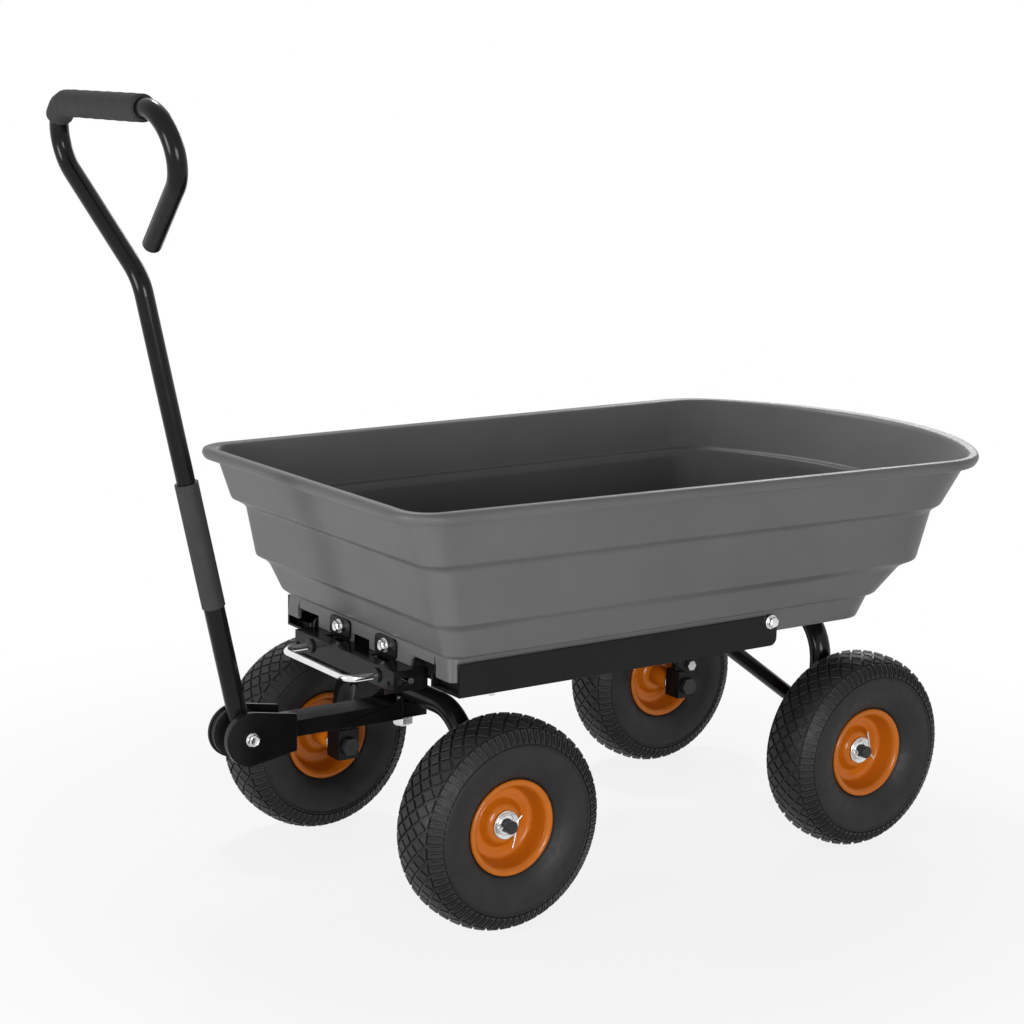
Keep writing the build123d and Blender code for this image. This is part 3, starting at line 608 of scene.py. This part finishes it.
def lathe(line, centre, axis, sides, corner=None):
    # turned or hexagonal shape: (height, radius) pairs along an axis
    axis = Vector(axis)
    u = axis.orthogonal().normalized()
    v = axis.cross(u)
    rings = []
    for h, r in line:
        ring = []
        for k in range(sides):
            t = 2 * math.pi * k / sides
            q = r
            if corner:
                flat = math.cos(math.pi / 6) / math.cos((t % (math.pi / 3)) - math.pi / 6)
                q = min(r, corner * flat)
            ring.append((Vector(centre) + axis * h + (u * math.cos(t) + v * math.sin(t)) * q) * 0.001)
        rings.append(ring)
    return skin(rings)


def boltParts(base, axis, flats, height, washer, thick, shank, length):
    corner = flats / 2 / math.cos(math.pi / 6)
    top = thick + height
    disc = lathe([(0, shank + 0.4), (0, washer - 0.3), (0.3, washer), (thick - 0.5, washer),
                  (thick, washer - 0.5), (thick, shank + 0.4)], base, axis, boltShape["washerSides"])
    head = lathe([(thick, flats / 2 - 0.3), (thick + 0.5, corner), (top - 1.6, corner),
                  (top - boltShape["rounding"], corner * boltShape["cornerCut"]), (top, flats / 2 - 1.2),
                  (top - 0.4, flats / 2 - 2.2)], base, axis, boltShape["headSides"], corner)
    stem = lathe([(thick, shank), (-length + 0.8, shank), (-length, shank - 0.8)], base, axis,
                 boltShape["stemSides"])
    return [disc, head, stem]


for name, (body, replaced, bolts) in boltSets.items():
    shapes = [shape for bolt in bolts for shape in boltParts(*bolt)]
    dress(newObject(name, *joined(shapes), boltShape["sharp"]), "zinc", body, "zinc", *replaced)
stage("bolts")


# hub washers and wire pins

hubShape = {
    "outer": 17.6, "inner": 8.0, "side": 229.4, "backOuter": 15.5, "backSide": 161.4, "cupSides": 64,
    "backSides": 48, "pinSide": 236.8, "wire": 0.95, "wireSides": 10, "cupSharp": 35, "pinSharp": 60,
}
# pin beside the axle as (towards the rear, out, up) from the axle's middle
pinPath = {
    "up": [(-9.5, 0.0, 0.6), (0.0, 0.0, 0.6), (7.6, 0.0, 0.8), (10.0, 1.2, 3.0), (13.0, 1.6, 7.0),
           (17.0, 1.8, 11.0)],
    "down": [(-9.5, 0.0, -0.6), (0.0, 0.0, -0.6), (7.4, 0.0, -0.9), (9.0, 1.2, -4.0), (8.2, 1.6, -12.0),
             (6.2, 1.8, -20.0), (4.4, 1.8, -27.0)],
    "eye": [(-9.5, 0.0, 0.6), (-12.0, 0.0, 2.6), (-15.0, 0.0, 2.4), (-16.2, 0.0, 0.0), (-15.0, 0.0, -2.4),
            (-12.0, 0.0, -2.6), (-9.5, 0.0, -0.6)],
}


def wire(points, radius, sides):
    # round wire along a smooth path, with closed ends
    points = [Vector(p) for p in spline(points, 6)]
    rings = []
    normal = None
    for i, p in enumerate(points):
        along = (points[min(i + 1, len(points) - 1)] - points[max(i - 1, 0)]).normalized()
        normal = along.orthogonal() if normal is None else normal - along * normal.dot(along)
        normal.normalize()
        other = along.cross(normal)
        angles = [2 * math.pi * k / sides for k in range(sides)]
        rings.append([(p + (normal * math.cos(t) + other * math.sin(t)) * radius) * 0.001 for t in angles])
    return skin(rings)


def hubCup(x, side, z):
    # cupped washer in front of the hub
    outer, inner = hubShape["outer"], hubShape["inner"]
    return lathe([(0, inner), (0, outer - 0.8), (0.8, outer), (2.6, outer), (3.3, outer - 0.8),
                  (3.0, outer - 2.0), (1.8, outer - 3.4), (1.6, inner + 5.0), (2.2, inner + 4.4),
                  (3.2, inner + 4.0), (3.6, inner + 3.4), (3.6, inner + 0.6), (3.0, inner)],
                 (x, side * hubShape["side"], z), (0, side, 0), hubShape["cupSides"])


def backWasher(x, side, z):
    # plain washer behind the hub
    outer, inner = hubShape["backOuter"], hubShape["inner"]
    return lathe([(0, inner), (0, outer - 0.5), (0.5, outer), (2.5, outer), (3, outer - 0.5), (3, inner)],
                 (x, side * hubShape["backSide"], z), (0, side, 0), hubShape["backSides"])


for end, body, turn in (("front", "front_axle", 1), ("rear", "tub", -1)):
    x = place[end + "Axle"] * 1000
    z = place["axleHeight"] * 1000
    cups, pins = [], []
    for side in (1, -1):
        cups += [hubCup(x, side, z), backWasher(x, side, z)]
        for path in pinPath.values():
            points = [(x - p[0], side * (hubShape["pinSide"] + p[1]), z + turn * p[2]) for p in path]
            pins.append(wire(points, hubShape["wire"], hubShape["wireSides"]))
    dress(newObject(end + "HubWashers", *joined(cups), hubShape["cupSharp"]), "zinc", body, "zinc",
          end + "_washers")
    dress(newObject(end + "WirePins", *joined(pins), hubShape["pinSharp"]), "zinc", body, "zinc",
          end + "_pins")
stage("hubs")


# foam grip

gripShape = {
    "lean": 12.95, "top": 760.0, "bend": (713.0, -86.8), "bendR": 47.0, "wrap": 48.0, "right": 102.0,
    "radius": 15.5, "bore": 11.2, "bendSteps": 10, "straightSteps": 24, "sides": 40, "swell": 0.25,
    "swellStep": 1.7, "endRound": 1.5, "endSlide": 0.8, "endSoft": 0.4, "sharp": 60,
}


def gripMesh():
    lean = math.radians(gripShape["lean"])
    up = Vector((math.sin(lean), 0, math.cos(lean)))
    out = Vector((math.cos(lean), 0, -math.sin(lean)))
    across = Vector((0, 1, 0))
    pivot = Vector((place["handlePivot"], 0.0, place["pivotHeight"]))
    cs, cy = gripShape["bend"]
    path = []
    for k in range(gripShape["bendSteps"]):
        a = math.radians(gripShape["wrap"] * (1 - k / gripShape["bendSteps"]))
        path.append((cs + gripShape["bendR"] * math.cos(a), cy - gripShape["bendR"] * math.sin(a), a))
    for k in range(gripShape["straightSteps"] + 1):
        path.append((gripShape["top"], cy + (gripShape["right"] - cy) * k / gripShape["straightSteps"], 0.0))
    angles = [2 * math.pi * k / gripShape["sides"] for k in range(gripShape["sides"])]

    def ring(entry, radius, slide=0.0):
        s, y, a = entry
        along = across * math.cos(a) + up * math.sin(a)
        normal = up * math.cos(a) - across * math.sin(a)
        centre = pivot + (up * s + across * y + along * slide) * 0.001
        return [centre + (normal * math.cos(t) + out * math.sin(t)) * radius * 0.001 for t in angles]

    r, slide, swell = gripShape["radius"], gripShape["endSlide"], gripShape["swell"]
    ends = (gripShape["bore"], r - gripShape["endRound"])
    rings = [ring(path[0], size) for size in ends]
    rings.append(ring(path[0], r - gripShape["endSoft"], slide))
    for i, entry in enumerate(path[1:-1], 1):
        rings.append(ring(entry, r - swell + swell * math.sin(i * gripShape["swellStep"])))
    rings.append(ring(path[-1], r - gripShape["endSoft"], -slide))
    rings += [ring(path[-1], size) for size in reversed(ends)]
    return skin(rings, False, False)


grip = dress(newObject("foamGrip", *gripMesh(), gripShape["sharp"]), "foam", "handle", "foam", "grip")
stage("grip")


# studio

studio = {
    "floorSize": 30.0, "floorTones": (0.86, 0.88), "floorRough": 0.9, "floorShine": 0.1, "fadeStart": 0.45,
    "fadeEnd": 1.25, "nearWhite": 0.84, "horizon": 0.60, "zenith": 0.05, "skyLow": 0.05, "skyHigh": 0.75,
}
# place, height of the aim, size and power
lamps = {
    "sideLamp": ((0.9, 2.9, 0.62), 0.35, 1.1, 50.0),
    "frontLamp": ((3.1, 0.3, 0.62), 0.35, 1.1, 46.0),
    "topLamp": ((-0.5, -1.6, 2.7), 0.4, 0.5, 26.0),
    "backLamp": ((-2.4, -1.8, 1.8), 0.4, 1.2, 24.0),
}


def backdropRay(tree):
    # one for rays that show the background: straight to the eye, mirrored or through glass
    path = tree.nodes.new("ShaderNodeLightPath")
    seen = path.outputs["Is Camera Ray"]
    for kind in ("Is Glossy Ray", "Is Transmission Ray"):
        either = tree.nodes.new("ShaderNodeMath")
        either.operation = "MAXIMUM"
        tree.links.new(seen, either.inputs[0])
        tree.links.new(path.outputs[kind], either.inputs[1])
        seen = either.outputs["Value"]
    return seen


def floorMaterial():
    mat, tree, shader = material("paleFloor")
    shader.inputs["Roughness"].default_value = studio["floorRough"]
    shader.inputs["Specular IOR Level"].default_value = studio["floorShine"]
    soft = noise(tree, 3)
    dark, light = studio["floorTones"]
    tone = ramp(tree, soft.outputs["Fac"], [(drift["low"], (dark,) * 3), (drift["high"], (light,) * 3)])
    tree.links.new(tone.outputs["Color"], shader.inputs["Base Color"])
    # fades to plain white away from the cart
    coord = tree.nodes.new("ShaderNodeTexCoord")
    length = tree.nodes.new("ShaderNodeVectorMath")
    length.operation = "LENGTH"
    tree.links.new(coord.outputs["Object"], length.inputs[0])
    reach = tree.nodes.new("ShaderNodeMapRange")
    reach.interpolation_type = "SMOOTHSTEP"
    reach.inputs["From Min"].default_value = studio["fadeStart"]
    reach.inputs["From Max"].default_value = studio["fadeEnd"]
    reach.inputs["To Min"].default_value = studio["nearWhite"]
    tree.links.new(length.outputs["Value"], reach.inputs["Value"])
    share = tree.nodes.new("ShaderNodeMath")
    share.operation = "MULTIPLY"
    tree.links.new(reach.outputs["Result"], share.inputs[0])
    tree.links.new(backdropRay(tree), share.inputs[1])
    white = tree.nodes.new("ShaderNodeEmission")
    mixed = tree.nodes.new("ShaderNodeMixShader")
    tree.links.new(share.outputs["Value"], mixed.inputs["Fac"])
    tree.links.new(shader.outputs["BSDF"], mixed.inputs[1])
    tree.links.new(white.outputs["Emission"], mixed.inputs[2])
    tree.links.new(mixed.outputs["Shader"], tree.nodes["Material Output"].inputs["Surface"])
    return mat


bpy.ops.mesh.primitive_plane_add(size=studio["floorSize"], location=(0, 0, 0))
floor = bpy.context.object
floor.name = "floor"
floor.data.materials.append(floorMaterial())


def studioSky():
    # bright near the horizon, dim overhead, and plain white where it is the background
    world = bpy.data.worlds.new("studioSky")
    bpy.context.scene.world = world
    world.use_nodes = True
    tree = world.node_tree
    coord = tree.nodes.new("ShaderNodeTexCoord")
    parts = tree.nodes.new("ShaderNodeSeparateXYZ")
    tree.links.new(coord.outputs["Generated"], parts.inputs["Vector"])
    tone = ramp(tree, parts.outputs["Z"], [(studio["skyLow"], (studio["horizon"],) * 3),
                                           (studio["skyHigh"], (studio["zenith"],) * 3)])
    pick = tree.nodes.new("ShaderNodeMix")
    pick.data_type = "RGBA"
    pick.inputs["B"].default_value = (1, 1, 1, 1)
    tree.links.new(backdropRay(tree), pick.inputs["Factor"])
    tree.links.new(tone.outputs["Color"], pick.inputs["A"])
    tree.links.new(pick.outputs["Result"], tree.nodes["Background"].inputs["Color"])


def softLamp(name, spot, aimHeight, size, power):
    data = bpy.data.lights.new(name, "AREA")
    data.shape = "DISK"
    data.size = size
    data.energy = power
    lamp = bpy.data.objects.new(name, data)
    bpy.context.collection.objects.link(lamp)
    lamp.location = spot
    aim = Vector((0, 0, aimHeight)) - Vector(spot)
    lamp.rotation_euler = aim.to_track_quat("-Z", "Y").to_euler()


studioSky()
for name, values in lamps.items():
    softLamp(name, *values)

# camera at the photograph's angle, with its focal length and width in pixels
view = {
    "azimuth": 54.89, "elevation": 11.37, "roll": 1.27, "distance": 2.8837,
    "target": (0.03177, -0.0224, 0.4447), "focal": 2240.0, "photoWidth": 1024, "sensor": 36.0,
}
az, el, roll = (math.radians(view[k]) for k in ("azimuth", "elevation", "roll"))
backward = Vector((math.cos(el) * math.cos(az), math.cos(el) * math.sin(az), math.sin(el)))
right = (-backward).cross(Vector((0, 0, 1))).normalized()
upward = right.cross(-backward)
imageRight = right * math.cos(roll) + upward * math.sin(roll)
imageUp = upward * math.cos(roll) - right * math.sin(roll)
spot = Vector(view["target"]) + backward * view["distance"]
camera = bpy.data.objects.new("camera", bpy.data.cameras.new("camera"))
bpy.context.collection.objects.link(camera)
camera.data.sensor_width = view["sensor"]
camera.data.lens = view["focal"] / view["photoWidth"] * view["sensor"]
camera.matrix_world = Matrix((
    (imageRight.x, imageUp.x, backward.x, spot.x), (imageRight.y, imageUp.y, backward.y, spot.y),
    (imageRight.z, imageUp.z, backward.z, spot.z), (0, 0, 0, 1)))
bpy.context.scene.camera = camera
bpy.context.scene.view_settings.view_transform = "Standard"
stage("studio")
